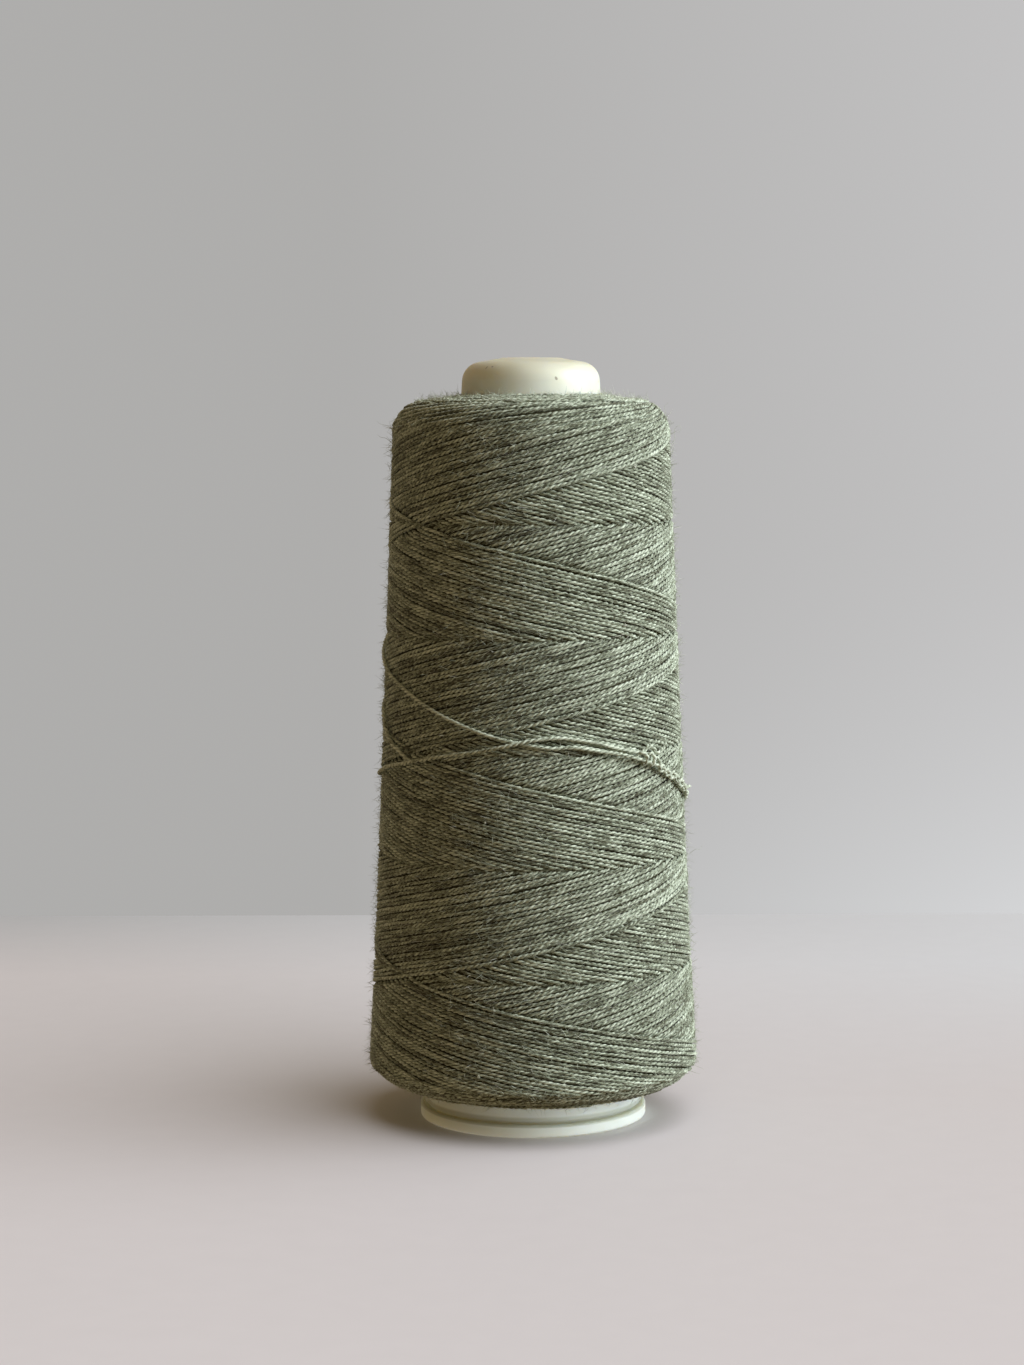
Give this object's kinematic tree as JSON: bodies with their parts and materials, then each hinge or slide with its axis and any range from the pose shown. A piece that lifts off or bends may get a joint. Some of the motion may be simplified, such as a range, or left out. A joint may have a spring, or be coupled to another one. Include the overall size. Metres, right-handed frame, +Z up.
{
  "type": "thread spool",
  "caption": "Cross-wound package of two-ply yarn on a hollow moulded plastic cone with a round nose, with its free end wrapped round and hitched.",
  "frame": {"origin": "centre of the foot ring's underside, on the surface that the spool stands on", "axes": "+Z up along the cone's axis from the foot to the nose; -Y is the front that the picture shows"},
  "size_m": [0.0736, 0.0737, 0.17],
  "materials": {
    "cone_plastic": "ivory injection-moulded plastic, satin, slightly marked",
    "yarn": "heathered sage-green two-ply yarn, matt and slightly hairy"
  },
  "bodies": {
    "root": {"cone_core": "cone_plastic", "yarn_package": "yarn", "yarn_outer_turns": "yarn", "yarn_free_end": "yarn"}
  },
  "joints": []
}
